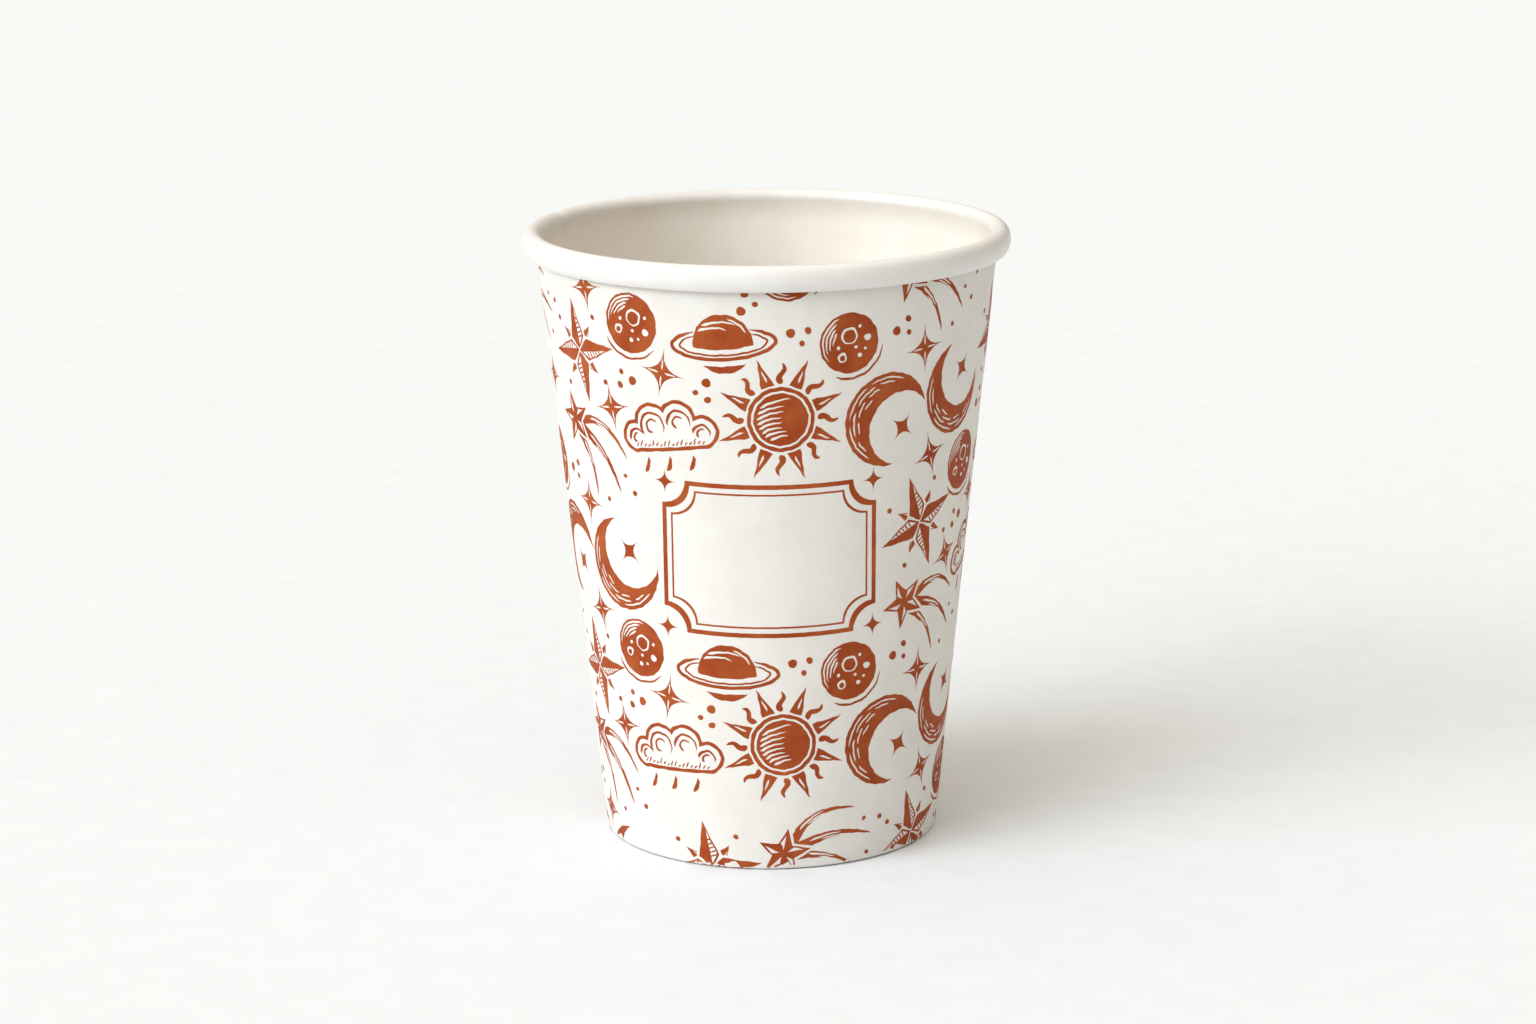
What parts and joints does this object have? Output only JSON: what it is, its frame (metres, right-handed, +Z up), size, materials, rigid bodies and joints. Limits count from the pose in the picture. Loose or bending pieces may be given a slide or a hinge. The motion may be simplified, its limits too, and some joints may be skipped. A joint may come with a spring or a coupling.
{
  "type": "paper coffee cup",
  "caption": "Tapered single-wall paper cup for hot drinks, with a rolled rim, an overlapped side seam and a recessed bottom held in a folded foot.",
  "frame": {"origin": "centre of the foot ring, on the table", "axes": "+Z up the cup's axis, -Y the front face as pictured; the side seam is at the back left, 150 to 170 degrees from +X"},
  "size_m": [0.09, 0.09, 0.1144],
  "materials": {
    "printed_board": "uncoated white board outside with a one-colour print, thin polyethylene coating inside",
    "bottom_board": "white board with a thin polyethylene coating on its upper side"
  },
  "bodies": {
    "root": {"sidewall": "printed_board", "bottom_disc": "bottom_board"}
  },
  "joints": []
}
